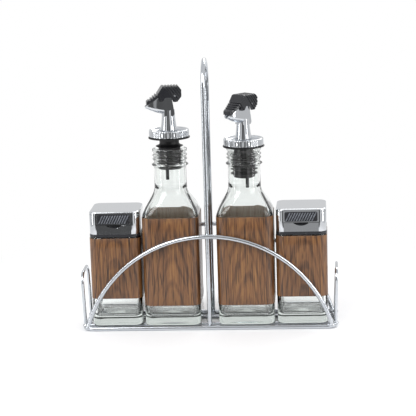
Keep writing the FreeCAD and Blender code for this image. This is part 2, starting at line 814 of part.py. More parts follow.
def cap_base():
    """Black moulding: the ring on the glass, a cup over the neck and the sieve deck."""
    body = new_body("CapBase")
    plate = new_sketch(body, "XY_Plane", cap_level)
    pad(body, draw_rounded(plate, s.shakerWidth, s.shakerWidth, s.shakerCorner), s.capRing)
    cup = draw_circle(new_sketch(body, "XY_Plane", cap_level), s.capCup)
    pad(body, cup, sieve_level + s.sieveThickness - cap_level)
    room = draw_circle(new_sketch(body, "XY_Plane", cap_level), s.shakerNeck + s.fitGap * 2)
    pocket(body, room, sieve_level - cap_level, reverse=True)
    deck = sieve_level + s.sieveThickness
    holes = draw_circle(new_sketch(body, "XY_Plane", deck), s.sieveHole)
    around = 6
    for number in range(around):
        turn = 2 * math.pi * number / around
        radius = s.sieveCircle / 2
        draw_circle(holes, s.sieveHole, radius * math.cos(turn), radius * math.sin(turn))
    pocket(body, holes, s.sieveThickness + 0.5)
    return body


def cap_shell():
    """Chromed square shell: open top, cut away for the lid's lip, with two hinge ears."""
    body = new_body("CapShell")
    outer = draw_rounded(new_sketch(body, "XY_Plane", shell_foot), shell_width, shell_width, shell_corner)
    pad(body, outer, s.shellHeight)
    inside = shell_width - s.capWall * 2
    inner = draw_rounded(new_sketch(body, "XY_Plane", shell_foot), inside, inside, shell_corner - s.capWall)
    pocket(body, inner, s.shellHeight, reverse=True)
    half, lip = shell_width / 2, s.lipWidth / 2 + s.lipGap
    low = lid_level - s.lipDrop - s.lipGap
    reach, deep = s.scallopWidth / 2, s.scallopDepth
    bow = (reach * reach + deep * deep) / (2 * deep)
    notch = [
        (-lip, low), (-reach, low), (0, low - deep), (reach, low), (lip, low),
        (lip, shell_top + 1), (-lip, shell_top + 1),
    ]
    front = new_sketch(body, "XZ_Plane", half - s.capWall - 1)
    pocket(body, draw(front, notch, {1: (bow, "left"), 2: (bow, "left")}), s.capWall + 3, reverse=True)
    rear_low = pin_z + 0.6
    back = new_sketch(body, "XZ_Plane", -(half + 1))
    wide = half + 1
    step = [(-wide, rear_low), (wide, rear_low), (wide, shell_top + 1), (-wide, shell_top + 1)]
    pocket(body, draw(back, step), s.lidPinInset + 1, reverse=True)
    gap = s.knuckleLength / 2 + s.lipGap
    foot = pin_z - s.knuckleDiameter / 2 - 1
    slot = new_sketch(body, "XZ_Plane", -(half + 1))
    pocket(body, draw(slot, [(-gap, foot), (gap, foot), (gap, shell_top + 1), (-gap, shell_top + 1)]),
           s.capWall + 2, reverse=True)
    round_ear = s.knuckleDiameter / 2
    ear = [
        (pin_y - round_ear, pin_z - s.knuckleDiameter), (pin_y + round_ear, pin_z - s.knuckleDiameter),
        (pin_y + round_ear, pin_z), (pin_y - round_ear, pin_z),
    ]
    for place in (gap, -(gap + s.earLength)):
        section = draw(new_sketch(body, "YZ_Plane", place), ear, {2: (round_ear, "left")})
        pad(body, section, s.earLength)
    hinge = draw_circle(new_sketch(body, "YZ_Plane"), s.lidPin + 0.04, pin_y, pin_z)
    pocket(body, hinge, (gap + s.earLength) * 2 + 2, symmetric=True)
    return body


def cap_lid():
    """Flat chromed lid with a front lip and a hinge knuckle at the rear."""
    body = new_body("Lid")
    plate = draw_rounded(new_sketch(body, "XY_Plane", lid_level), shell_width, shell_width, shell_corner)
    pad(body, plate, s.lidThickness)
    fillet(body, s.lidThickness / 2, level_edges(lid_level + s.lidThickness))
    half, lip = shell_width / 2, s.lipWidth / 2
    front = new_sketch(body, "XZ_Plane", half - s.capWall)
    low = lid_level - s.lipDrop
    into = lid_level + 1.0
    pad(body, draw(front, [(-lip, low), (lip, low), (lip, into), (-lip, into)]), s.capWall)
    radius = s.knuckleDiameter / 2
    root = lid_level + 0.5
    rear, fore = pin_y - radius, pin_y + radius
    knuckle = [(rear, pin_z), (fore, pin_z), (fore, root), (rear, root)]
    section = draw(new_sketch(body, "YZ_Plane"), knuckle, {0: (radius, "left")})
    pad(body, section, s.knuckleLength, symmetric=True)
    eye = draw_circle(new_sketch(body, "YZ_Plane"), s.lidPin + s.pinRunning * 2, pin_y, pin_z)
    pocket(body, eye, s.knuckleLength + 2, symmetric=True)
    return body


def thumb_grip():
    """Dark ribbed strip on the lid's lip."""
    body = new_body("Grip")
    face = shell_width / 2
    half, top = s.gripWidth / 2, lid_level
    low = top - s.gripHeight
    base = draw(new_sketch(body, "XZ_Plane", face), [(-half, low), (half, low), (half, top), (-half, top)])
    pad(body, base, s.gripPlate)
    start = -half + s.gripMargin
    end = start + s.gripRibWidth
    rib_low, rib_top = low + s.gripMargin, top - s.gripMargin
    rib = [(start, rib_low), (end, rib_low), (end, rib_top), (start, rib_top)]
    ribs = pad(body, draw(new_sketch(body, "XZ_Plane", face + s.gripPlate), rib), s.gripRib)
    room = s.gripWidth - s.gripMargin * 2 - s.gripRibWidth
    repeat(body, ribs, "X_Axis", s.gripPitch, int(room.number / s.gripPitch.number) + 1)
    return body


def lid_pin():
    body = new_body("LidPin")
    sketch = draw_circle(new_sketch(body, "YZ_Plane"), s.lidPin, pin_y, pin_z)
    pad(body, sketch, s.knuckleLength + (s.lipGap + s.earLength) * 2, symmetric=True)
    return body


def lid_seal():
    """Soft cup under the lid that closes the sieve."""
    body = new_body("Seal")
    radius, wall = s.sealDiameter / 2, s.sealWall
    low = sieve_level + s.sieveThickness + s.fitGap
    points = [(0, low), (radius - 1, low), (radius, low + 1), (radius, lid_level), (radius - wall, lid_level),
              (radius - wall, low + wall), (0, low + wall)]
    revolve(body, draw(new_sketch(body, "XZ_Plane"), points))
    return body


def shaker(side, x):
    shaker_jar(side + "_shaker_jar", x)
    wrap(side + "_shaker_wood_wrap", x, s.shakerWidth, s.shakerCorner, s.shakerWrapBottom, s.shakerWrapTop)
    pieces = (
        ("cap_base", cap_base), ("cap_shell", cap_shell), ("lid", cap_lid),
        ("thumb_grip", thumb_grip), ("lid_pin", lid_pin), ("lid_seal", lid_seal),
    )
    for name, make in pieces:
        keep(make(), side + "_shaker_" + name, x=x, z=glass_level)


base_rim()
arch("front_arch", -1)
arch("rear_arch", 1)
end_loop("left_end_loop", -1)
end_loop("right_end_loop", 1)
handle_loop()
floor_wire("front_floor_wire", -1)
floor_wire("rear_floor_wire", 1)
cruet("left", -cruet_place, s.leftBeakTurn, s.leftStopperLift)
cruet("right", cruet_place, s.rightBeakTurn, as_size(0))
shaker("left", -shaker_place)
shaker("right", shaker_place)

doc.recompute()
for item in doc.Objects:
    if "Invalid" in item.State or "Error" in item.State:
        raise RuntimeError("%s (%s) failed: %s" % (item.Name, item.Label, item.State))
for item in sub_parts:
    if item.Shape.isNull() or not item.Shape.isValid():
        raise RuntimeError(item.Label + " has no valid shape")

os.makedirs("parts", exist_ok=True)
for item in sub_parts:
    item.Shape.exportStep("parts/%s.step" % item.Label)
print("%d sub-parts written" % len(sub_parts))
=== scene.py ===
import math

import bmesh
import bpy
from mathutils import Matrix, Vector


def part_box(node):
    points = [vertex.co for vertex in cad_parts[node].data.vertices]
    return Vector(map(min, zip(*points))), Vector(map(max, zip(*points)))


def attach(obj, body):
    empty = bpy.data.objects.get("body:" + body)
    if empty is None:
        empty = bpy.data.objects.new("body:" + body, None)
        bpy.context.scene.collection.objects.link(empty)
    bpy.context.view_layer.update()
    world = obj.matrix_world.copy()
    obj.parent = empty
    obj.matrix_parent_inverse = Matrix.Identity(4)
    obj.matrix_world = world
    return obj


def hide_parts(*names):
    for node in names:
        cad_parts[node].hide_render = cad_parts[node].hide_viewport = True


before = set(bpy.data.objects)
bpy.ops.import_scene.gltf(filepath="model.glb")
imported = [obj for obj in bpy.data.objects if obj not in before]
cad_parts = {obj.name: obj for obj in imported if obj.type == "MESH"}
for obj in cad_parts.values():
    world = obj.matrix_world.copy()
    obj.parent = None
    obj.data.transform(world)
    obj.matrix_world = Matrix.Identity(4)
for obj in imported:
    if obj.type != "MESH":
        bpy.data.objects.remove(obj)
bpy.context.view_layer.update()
mm = 0.001
up = Vector((0, 0, 1))
print("frame loaded")

# the camera, as the photograph was taken

camera = {"azimuth": 3.97, "elevation": 11.84, "roll": 1.71, "distance": 1.591, "aim": (0, 0, 0.0904),
          "lens": 153.57, "sensor": 36, "shift": (-0.0019, 0.0389), "clipEnd": 20}


def setCamera():
    az, el, roll = (math.radians(camera[k]) for k in ("azimuth", "elevation", "roll"))
    back = Vector((math.sin(az) * math.cos(el), -math.cos(az) * math.cos(el), math.sin(el)))
    right = Vector((math.cos(az), math.sin(az), 0))
    above = back.cross(right)
    across = right * math.cos(roll) - above * math.sin(roll)
    upright = right * math.sin(roll) + above * math.cos(roll)
    data = bpy.data.cameras.new("productCamera")
    data.lens, data.sensor_width = camera["lens"], camera["sensor"]
    data.shift_x, data.shift_y = camera["shift"]
    data.clip_end = camera["clipEnd"]
    shot = bpy.data.objects.new("productCamera", data)
    turn = Matrix((across, upright, back)).transposed().to_4x4()
    shot.matrix_world = Matrix.Translation(Vector(camera["aim"]) + back * camera["distance"]) @ turn
    bpy.context.collection.objects.link(shot)
    bpy.context.scene.camera = shot


setCamera()
bpy.context.scene.view_settings.view_transform = "Standard"
print("camera set")

# materials


def srgb(code):
    parts = [int(code[i:i + 2], 16) / 255 for i in (1, 3, 5)]
    return tuple(p / 12.92 if p <= 0.04045 else ((p + 0.055) / 1.055) ** 2.4 for p in parts) + (1.0,)


def linkTo(tree, node, sources):
    for key, source in sources.items():
        tree.links.new(source, node.inputs[key])


def addNode(tree, kind, settings=None, sources=None):
    node = tree.nodes.new(kind)
    for key, value in (settings or {}).items():
        if isinstance(key, int) or key in node.inputs:
            node.inputs[key].default_value = value
        else:
            setattr(node, key, value)
    linkTo(tree, node, sources or {})
    return node


def newMaterial(name, settings):
    material = bpy.data.materials.new(name)
    material.use_nodes = True
    shader = material.node_tree.nodes["Principled BSDF"]
    for key, value in settings.items():
        shader.inputs[key].default_value = value
    return material, material.node_tree, shader


def setStops(ramp, stops):
    # a colour ramp's places and colours, in order
    elements = ramp.color_ramp.elements
    elements[0].position, elements[0].color = stops[0]
    elements[1].position, elements[1].color = stops[-1]
    for position, color in stops[1:-1]:
        elements.new(position).color = color


def perMm(size):
    return 1 / (size * mm)  # texture scale that gives features of this many millimetres


def unevenFace(tree, shader, patch, rough, wave, bump):
    # roughness that changes in patches, and a surface that waves
    # patch and wave are a size in mm and a detail, bump is a depth in mm and a strength
    place = addNode(tree, "ShaderNodeTexCoord").outputs["Object"]
    patches = addNode(tree, "ShaderNodeTexNoise", {"Scale": perMm(patch[0]), "Detail": patch[1]},
                      {"Vector": place})
    spread = addNode(tree, "ShaderNodeMapRange", {"To Min": rough[0], "To Max": rough[1]},
                     {"Value": patches.outputs["Fac"]})
    waves = addNode(tree, "ShaderNodeTexNoise", {"Scale": perMm(wave[0]), "Detail": wave[1]},
                    {"Vector": place})
    relief = addNode(tree, "ShaderNodeBump", {"Strength": bump[1], "Distance": bump[0] * mm},
                     {"Height": waves.outputs["Fac"]})
    linkTo(tree, shader, {"Roughness": spread.outputs["Result"], "Normal": relief.outputs["Normal"]})


def platedWire():
    # bright nickel-chrome plating on bent steel wire: mirror-like, slightly wavy, with duller spots
    material, tree, shader = newMaterial("platedSteelWire", {"Metallic": 1.0, "Base Color": srgb("#c4c8cd")})
    unevenFace(tree, shader, patch=(9, 3.0), rough=(0.07, 0.2), wave=(6, 1.0), bump=(0.12, 0.6))
    return material


def polishedChrome(name, ripple, roughness):
    # chrome plating over moulded plastic or die-cast metal: a clean mirror with very slight waviness
    material, tree, shader = newMaterial(name, {"Metallic": 1.0, "Base Color": srgb("#cfd2d6")})
    rough = (roughness * 0.7, roughness * 1.5)
    unevenFace(tree, shader, patch=(12, 2.0), rough=rough, wave=(ripple, 0.0), bump=(0.10, 0.5))
    return material


def bottleGlass():
    # machine-pressed soda-lime glass: clear, a little green through its thick foot, with faint mould waves
    material, tree, shader = newMaterial("sodaLimeGlass", {
        "Base Color": srgb("#fbfdfc"), "Roughness": 0.01, "IOR": 1.5, "Transmission Weight": 1.0})
    coords = addNode(tree, "ShaderNodeTexCoord")
    wave = addNode(tree, "ShaderNodeTexNoise", {"Scale": perMm(16), "Detail": 1.0},
                   {"Vector": coords.outputs["Object"]})
    bump = addNode(tree, "ShaderNodeBump", {"Strength": 0.35, "Distance": 0.35 * mm},
                   {"Height": wave.outputs["Fac"]})
    linkTo(tree, shader, {"Normal": bump.outputs["Normal"]})
    depth = addNode(tree, "ShaderNodeVolumeAbsorption", {"Color": srgb("#b1c3ba"), "Density": 11.0})
    linkTo(tree, tree.nodes["Material Output"], {"Volume": depth.outputs["Volume"]})
    return material


# the printed wood, with lengths in mm: its tones run from dark to light, sway bends the grain, streaks run
# along it, and figure is the room between the rings of a log whose heart lies off the middle and up, and
# which was sawn at the angle cut, in radians
wood = {"front": ("#22150d", "#4a301d", "#694529", "#875f35"),
        # back is a pale copy of the front tones for the film's inner face: partly the film's paler back,
        # partly painted light for the light that the glass keeps from it
        "back": ("#cba48a", "#e0bfa4", "#ecd0ba", "#f3e0cf"), "tonePlaces": (0.30, 0.43, 0.55, 0.76),
        "sway": 6.5, "swaySize": 16, "swayStretch": 0.13,
        "streak": 0.9, "broadStreak": 12, "streakStretch": 0.014, "broadShare": 0.3, "broadShift": -0.07,
        "figure": 3.8, "figureShare": -0.1, "cut": 0.17, "heartAside": 4, "heartUp": 100,
        "pore": 0.5, "poreLength": 9.0, "poreDark": 0.6, "relief": 0.03}


def woodGrain(name, tones, gloss, middle):
    # printed flat-sawn walnut on film: upright streaks, tall nested arches and short dark pores, satin face
    material, tree, shader = newMaterial(name, {
        "Roughness": 0.38, "Coat Weight": gloss, "Coat Roughness": 0.2})
    coords = addNode(tree, "ShaderNodeTexCoord")
    drift = addNode(tree, "ShaderNodeMapping", {"Scale": (1, 1, wood["swayStretch"])},
                    {"Vector": coords.outputs["Object"]})
    wander = addNode(tree, "ShaderNodeTexNoise", {"Scale": perMm(wood["swaySize"]), "Detail": 2.0},
                     {"Vector": drift.outputs["Vector"]})
    push = addNode(tree, "ShaderNodeVectorMath", {"operation": "SCALE", "Scale": wood["sway"] * mm},
                   {0: wander.outputs["Color"]})
    moved = addNode(tree, "ShaderNodeVectorMath", {"operation": "ADD"},
                    {0: coords.outputs["Object"], 1: push.outputs["Vector"]})
    heart = (-middle - wood["heartAside"] * mm, 0, -wood["heartUp"] * mm)
    centred = addNode(tree, "ShaderNodeMapping", {"Location": heart}, {"Vector": moved.outputs["Vector"]})
    log = addNode(tree, "ShaderNodeMapping", {"Rotation": (wood["cut"], 0, 0)},
                  {"Vector": centred.outputs["Vector"]})
    rings = addNode(tree, "ShaderNodeTexWave", {
        "wave_type": "RINGS", "rings_direction": "Z", "wave_profile": "SIN",
        "Scale": 2 * math.pi / (20 * wood["figure"] * mm),
        "Distortion": 1.5, "Detail": 2.0, "Detail Scale": 1.2}, {"Vector": log.outputs["Vector"]})
    line = addNode(tree, "ShaderNodeMapRange", {
        "From Min": 0.55, "From Max": 1.0, "To Max": wood["figureShare"]}, {"Value": rings.outputs["Fac"]})
    streak = addNode(tree, "ShaderNodeMapping", {"Scale": (1, 1, wood["streakStretch"])},
                     {"Vector": moved.outputs["Vector"]})
    fine = addNode(tree, "ShaderNodeTexNoise", {
        "Scale": perMm(wood["streak"]), "Detail": 3.0, "Roughness": 0.7},
        {"Vector": streak.outputs["Vector"]})
    broad = addNode(tree, "ShaderNodeTexNoise", {"Scale": perMm(wood["broadStreak"]), "Detail": 2.0},
                    {"Vector": streak.outputs["Vector"]})
    grain = addNode(tree, "ShaderNodeMath", {"operation": "ADD"},
                    {0: fine.outputs["Fac"], 1: line.outputs["Result"]})
    slow = addNode(tree, "ShaderNodeMath", {
        "operation": "MULTIPLY_ADD", 1: wood["broadShare"], 2: wood["broadShift"]}, {0: broad.outputs["Fac"]})
    mixed = addNode(tree, "ShaderNodeMath", {"operation": "ADD"},
                    {0: grain.outputs["Value"], 1: slow.outputs["Value"]})
    tone = addNode(tree, "ShaderNodeValToRGB", {}, {"Fac": mixed.outputs["Value"]})
    setStops(tone, [(place, srgb(code)) for place, code in zip(wood["tonePlaces"], tones)])
    pore = addNode(tree, "ShaderNodeMapping", {"Scale": (1, 1, wood["pore"] / wood["poreLength"])},
                   {"Vector": coords.outputs["Object"]})
    pores = addNode(tree, "ShaderNodeTexNoise", {"Scale": perMm(wood["pore"] * 2), "Detail": 1.0},
                    {"Vector": pore.outputs["Vector"]})
    holes = addNode(tree, "ShaderNodeMapRange", {
        "From Min": 0.58, "From Max": 0.66, "To Max": wood["poreDark"]}, {"Value": pores.outputs["Fac"]})
    final = addNode(tree, "ShaderNodeMix", {"data_type": "RGBA", 7: srgb(tones[0])},
                    {"Factor": holes.outputs["Result"], 6: tone.outputs["Color"]})
    bump = addNode(tree, "ShaderNodeBump", {"Strength": 0.3, "Distance": wood["relief"] * mm},
                   {"Height": mixed.outputs["Value"]})
    linkTo(tree, shader, {"Base Color": final.outputs[2], "Normal": bump.outputs["Normal"]})
    return material


def mouldedRubber():
    # black moulded thermoplastic rubber: soft satin with a fine skin
    material, tree, shader = newMaterial("mouldedBlackRubber", {"Base Color": srgb("#0e0e10"), "IOR": 1.45})
    unevenFace(tree, shader, patch=(0.9, 2.0), rough=(0.36, 0.56), wave=(0.9, 2.0), bump=(0.03, 0.5))
    return material


def mouldedPlastic():
    # black injection-moulded ABS: glossy, with slight sink marks
    material, tree, shader = newMaterial("mouldedBlackAbs", {"Base Color": srgb("#202125"), "IOR": 1.52})
    unevenFace(tree, shader, patch=(5, 3.0), rough=(0.16, 0.34), wave=(5, 3.0), bump=(0.05, 0.5))
    return material


def makeRibHighlight():
    # the same plastic painted grey on the raised ribs and softened edges: a painted highlight for light
    # catching them, with a fine speckle in it
    material, tree, shader = newMaterial("ribPaintedHighlightAbs", {"Roughness": 0.5})
    coords = addNode(tree, "ShaderNodeTexCoord")
    highlightSpeckle = addNode(tree, "ShaderNodeTexNoise", {"Scale": perMm(1.5), "Detail": 2.0},
                   {"Vector": coords.outputs["Object"]})
    tone = addNode(tree, "ShaderNodeValToRGB", {}, {"Fac": highlightSpeckle.outputs["Fac"]})
    setStops(tone, [(0.35, srgb("#44474d")), (0.65, srgb("#666a72"))])
    bump = addNode(tree, "ShaderNodeBump", {"Strength": 0.5, "Distance": 0.03 * mm},
                   {"Height": highlightSpeckle.outputs["Fac"]})
    linkTo(tree, shader, {"Base Color": tone.outputs["Color"], "Normal": bump.outputs["Normal"]})
    return material


wireChrome = platedWire()
spoutChrome = polishedChrome("platedPourerMetal", 7, 0.06)
capChrome = polishedChrome("platedCapMetal", 15, 0.05)
glass = bottleGlass()
# the pale copy of the print for the film's inner face, partly its paler back and partly painted light
woodBackLit = woodGrain("printedFilmBackLit", wood["back"], 0.0, 0)
rubber = mouldedRubber()
plastic = mouldedPlastic()
# grey painted highlight for the grip's ribs and the flaps' softened edges
ribHighlightPaint = makeRibHighlight()
pinSteel = polishedChrome("turnedSteelPin", 3, 0.25)
print("materials made")

# small helpers that turn a bmesh into a finished piece, and how fine they work, in mm, degrees and counts

fineness = {"merge": 0.002, "planeLimit": 1, "ringSides": 128, "wireSides": 20, "bendStep": 4,
            "leastBends": 4, "cadMerge": 0.003, "cadFlat": 0.8, "cadSharp": 28, "cadSmooth": 30,
            "cadPlane": 45}


def finishPiece(bm, name, body, material, nodes=(), smooth=35, plane=None):
    # round stretches are shaded smooth, and a face larger than plane, in square millimetres, stays flat
    bmesh.ops.remove_doubles(bm, verts=bm.verts, dist=fineness["merge"] * mm)
    bmesh.ops.recalc_face_normals(bm, faces=bm.faces)
    for face in bm.faces:
        face.smooth = True
    for edge in bm.edges:
        limit = smooth
        if plane and max((face.calc_area() for face in edge.link_faces), default=0) > plane * mm * mm:
            limit = fineness["planeLimit"]
        edge.smooth = len(edge.link_faces) < 2 or edge.calc_face_angle(0) < math.radians(limit)
    mesh = bpy.data.meshes.new(name)
    bm.to_mesh(mesh)
    bm.free()
    mesh.materials.append(material)
    piece = bpy.data.objects.new(name, mesh)
    bpy.context.collection.objects.link(piece)
    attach(piece, body)
    if nodes:
        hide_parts(*nodes)
    return piece


def movedTo(bm, x, y, z, turn=0):
    place = Matrix.Translation((x, y, z)) @ Matrix.Rotation(turn, 4, "Z")
    bmesh.ops.transform(bm, verts=bm.verts, matrix=place)


def bevelled(bm, edges, offset, segments, material=-1):
    bmesh.ops.bevel(bm, geom=edges, offset=offset * mm, offset_type="OFFSET", segments=segments, profile=0.5,
                    affect="EDGES", clamp_overlap=True, material=material)


def makeBlock(x, y, z):
    # a block of this size in mm about the origin
    bm = bmesh.new()
    bmesh.ops.create_cube(bm, size=mm)
    bmesh.ops.scale(bm, verts=bm.verts, vec=(x, y, z))
    return bm


def squareReach(angle, half, corner):
    # distance from the middle to the side of a rounded square, along one direction
    a = angle % (math.pi / 2)
    a = min(a, math.pi / 2 - a)
    flat = half - corner
    if math.tan(a) * half <= flat:
        return half / math.cos(a)
    along = flat * (math.cos(a) + math.sin(a))
    return along + math.sqrt(max(along * along - 2 * flat * flat + corner * corner, 0))


def extruded(bm, edges):
    # the new verts and edges after a loop of edges is extruded in place
    grown = bmesh.ops.extrude_edge_only(bm, edges=edges)["geom"]
    verts = [g for g in grown if isinstance(g, bmesh.types.BMVert)]
    fresh = set(verts)
    return verts, [g for g in grown if isinstance(g, bmesh.types.BMEdge) and fresh.issuperset(g.verts)]


def stackRings(rings, closed=False):
    # one wall that climbs from ring to ring; a ring is its height, half width and corner radius in mm
    bm = bmesh.new()
    sides = fineness["ringSides"]
    first = bmesh.ops.create_circle(bm, cap_ends=False, segments=sides, radius=mm)["verts"]
    loop, edges = first, list(bm.edges)
    for i, (z, half, corner) in enumerate(rings):
        if i:
            loop, edges = extruded(bm, edges)
        for vert in loop:
            angle = math.atan2(vert.co.y, vert.co.x)
            reach = squareReach(angle, half, min(corner, half)) * mm
            vert.co = (math.cos(angle) * reach, math.sin(angle) * reach, z * mm)
    if not closed:
        bmesh.ops.contextual_create(bm, geom=first)
        bmesh.ops.contextual_create(bm, geom=loop)
    return bm


def arcRings(z, half, corner, radius, start, end, steps):
    # rings along a rounded edge whose centre is at height z and at the given half width
    rings = []
    for i in range(steps + 1):
        a = math.radians(start + (end - start) * i / steps)
        grow = radius * math.cos(a)
        rings.append((z + radius * math.sin(a), half + grow, max(corner + grow, 0.3)))
    return rings


def outerFoot(shape):
    # the outside of a pressed glass, from the hollow under its foot, round its heel and up its side
    half, corner, heel = shape["half"], shape["corner"], shape["heel"]
    rings = list(shape["underside"])
    rings += arcRings(heel, half - heel, corner - heel, heel, -90, 0, 6)
    return rings + [(z, half, corner) for z in shape["outerLevels"]]


def innerFloor(shape):
    # the cavity of such a glass, down its side, round the inner heel and over the floor
    inner, heel, floor = shape["half"] - shape["wall"], shape["cavityHeel"], shape["floor"]
    rings = [(z, inner, shape["corner"] - shape["wall"]) for z in shape["innerLevels"]]
    rings += arcRings(floor + heel, inner - heel, shape["cavityCorner"], heel, 0, -90, 6)
    return rings + [(floor + z, half, corner) for z, half, corner in shape["floorDome"]]


def spinProfile(points, segments):
    # a turned shape from its half section, given as radius and height in mm
    bm = bmesh.new()
    verts = [bm.verts.new((r * mm, 0, z * mm)) for r, z in points]
    edges = [bm.edges.new((a, b)) for a, b in zip(verts, verts[1:])]
    bmesh.ops.spin(bm, geom=verts + edges, cent=(0, 0, 0), axis=up, angle=math.tau, steps=segments,
                   use_merge=True)
    return bm


def bendWire(start, heading, diameter, path, closed=False):
    # wire that is run straight or bent round an axis, step by step, from one end
    bm = bmesh.new()
    place, heading = Vector(start) * mm, Vector(heading).normalized()
    turn = heading.to_track_quat("Z", "Y").to_matrix().to_4x4()
    bmesh.ops.create_circle(bm, cap_ends=not closed, segments=fineness["wireSides"], radius=diameter / 2 * mm,
                            matrix=Matrix.Translation(place) @ turn)
    edges = list(bm.edges)
    for step in path:
        if step[0] == "run":
            verts, edges = extruded(bm, edges)
            bmesh.ops.translate(bm, verts=verts, vec=heading * step[1] * mm)
            place = place + heading * step[1] * mm
        else:
            radius, degrees, axis = step[1] * mm, math.radians(step[2]), Vector(step[3])
            centre = place + axis.cross(heading) * radius
            count = max(fineness["leastBends"], int(abs(step[2]) / fineness["bendStep"]))
            grown = bmesh.ops.spin(bm, geom=edges, cent=centre, axis=axis, angle=degrees, steps=count)
            edges = [g for g in grown["geom_last"] if isinstance(g, bmesh.types.BMEdge)]
            swing = Matrix.Rotation(degrees, 3, axis)
            place = centre + swing @ (place - centre)
            heading = swing @ heading
    if not closed:
        bmesh.ops.contextual_create(bm, geom=list({v for e in edges for v in e.verts}))
    return bm


def joinBmesh(parts):
    whole = bmesh.new()
    for part in parts:
        mesh = bpy.data.meshes.new("joining")
        part.to_mesh(mesh)
        part.free()
        whole.from_mesh(mesh)
        bpy.data.meshes.remove(mesh)
    return whole


def eased(node, name, body, material, edge, edgeHighlight=None):
    # the CAD piece with its triangles joined into faces and its hard edges softened by this many millimetres;
    # where a second material is given, the softened edges take it as a painted highlight
    bm = bmesh.new()
    bm.from_mesh(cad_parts[node].data)
    bmesh.ops.remove_doubles(bm, verts=bm.verts, dist=fineness["cadMerge"] * mm)
    flat, sharp = math.radians(fineness["cadFlat"]), math.radians(fineness["cadSharp"])
    bmesh.ops.dissolve_limit(bm, angle_limit=flat, verts=bm.verts, edges=bm.edges)
    hard = [e for e in bm.edges if len(e.link_faces) == 2 and e.calc_face_angle(0) > sharp]
    bevelled(bm, hard, edge, 2, material=1 if edgeHighlight else -1)
    piece = finishPiece(bm, name, body, material, (node,), fineness["cadSmooth"], fineness["cadPlane"])
    if edgeHighlight:
        piece.data.materials.append(edgeHighlight)


# the rack, in mm; a wire sinks a little into the one that it is welded to

rack = {"wire": 4, "thin": 3, "halfLength": 112, "halfDepth": 28, "corner": 8, "archHalf": 109.5,
        "archRise": 83, "guardTop": 52, "guardHalf": 20, "guardBend": 9, "guardLean": 2, "loopTop": 240,
        "loopFoot": 0.3, "floorAt": 13, "sink": 0.3}


def makeRim():
    x, y, r, z = rack["halfLength"], rack["halfDepth"], rack["corner"], rack["wire"] / 2
    path = []
    for side in (x, y, x, y):
        path += [("run", 2 * (side - r)), ("bend", r, 90, up)]
    bm = bendWire((-(x - r), -y, z), (1, 0, 0), rack["wire"], path, closed=True)
    finishPiece(bm, "rimWire", "rack", wireChrome, ("base_rim",))


def makeArch(name, node, side):
    half, rise, z = rack["archHalf"], rack["archRise"], rack["wire"] / 2
    radius = (half * half + rise * rise) / (2 * rise)
    spread = math.acos((radius - rise) / radius)
    heading = (math.cos(spread), 0, math.sin(spread))
    path = [("bend", radius, math.degrees(spread) * 2, (0, 1, 0))]
    bm = bendWire((-half, side * rack["halfDepth"], z), heading, rack["wire"], path)
    finishPiece(bm, name, "rack", wireChrome, (node,))


def makeGuard(name, node, side):
    half, bend, z = rack["guardHalf"], rack["guardBend"], rack["wire"] / 2
    top = rack["guardTop"] - z - rack["thin"] / 2
    path = [("run", top - bend), ("bend", bend, 90, (-1, 0, 0)), ("run", 2 * (half - bend)),
            ("bend", bend, 90, (-1, 0, 0)), ("run", top - bend)]
    bm = bendWire((0, -half, 0), up, rack["thin"], path)
    lean = Matrix.Rotation(math.radians(side * rack["guardLean"]), 4, "Y")
    place = Matrix.Translation(Vector((side * rack["halfLength"], 0, z)) * mm)
    bmesh.ops.transform(bm, verts=bm.verts, matrix=place @ lean)
    finishPiece(bm, name, "rack", wireChrome, (node,))


def makeLoop():
    leg = rack["halfDepth"] - rack["wire"] + rack["sink"]
    rise = rack["loopTop"] - rack["wire"] / 2 - leg - rack["loopFoot"]
    path = [("run", rise), ("bend", leg, 180, (-1, 0, 0)), ("run", rise)]
    bm = bendWire((0, -leg, rack["loopFoot"]), up, rack["wire"], path)
    finishPiece(bm, "carryingLoop", "rack", wireChrome, ("handle_loop",))


def makeFloorWire(name, node, side):
    half = rack["halfLength"] - rack["wire"] / 2 + rack["sink"]
    start = (-half, side * rack["floorAt"], rack["thin"] / 2)
    bm = bendWire(start, (1, 0, 0), rack["thin"], [("run", 2 * half)])
    finishPiece(bm, name, "rack", wireChrome, (node,))


# the beads in mm: their size and flattening, then how far in and how high they sit at each kind of joint
weld = {"size": 2.7, "squash": (1, 0.8, 0.72), "archIn": 0.6, "archUp": 3.2, "floorIn": 1.8, "floorUp": 1.9,
        "guardUp": 3.2, "loopUp": 2.6}


def makeWelds():
    x, y = rack["halfLength"], rack["halfDepth"]
    inner = y - rack["wire"] / 2
    crown = rack["archRise"] + rack["wire"] / 2
    spots = []
    for sx in (-1, 1):
        for sy in (-1, 1):
            spots.append((sx * (rack["archHalf"] - weld["archIn"]), sy * y, weld["archUp"]))
            spots.append((sx * (x - weld["floorIn"]), sy * rack["floorAt"], weld["floorUp"]))
            spots.append((sx * x, sy * rack["guardHalf"], weld["guardUp"]))
    for sy in (-1, 1):
        spots += [(0, sy * inner, weld["loopUp"]), (0, sy * inner, crown)]
    beads = []
    for spot in spots:
        bead = bmesh.new()
        bmesh.ops.create_uvsphere(bead, u_segments=20, v_segments=12, radius=weld["size"] * mm)
        bmesh.ops.scale(bead, vec=weld["squash"], verts=bead.verts)
        movedTo(bead, *(place * mm for place in spot))
        beads.append(bead)
    finishPiece(joinBmesh(beads), "weldBeads", "rack", wireChrome)


makeRim()
makeArch("frontArch", "front_arch", -1)
makeArch("rearArch", "rear_arch", 1)
makeGuard("leftGuard", "left_end_loop", -1)
makeGuard("rightGuard", "right_end_loop", 1)
makeLoop()
makeFloorWire("frontFloorWire", "front_floor_wire", -1)
makeFloorWire("rearFloorWire", "rear_floor_wire", 1)
makeWelds()
print("rack bent and welded")

# the printed film round each glass, in mm; its outer face is this far out from the glass

wrap = {"outer": 0.34, "thickness": 0.28, "edge": 0.08, "rounding": 0.1, "levels": 6, "gloss": 0.25}


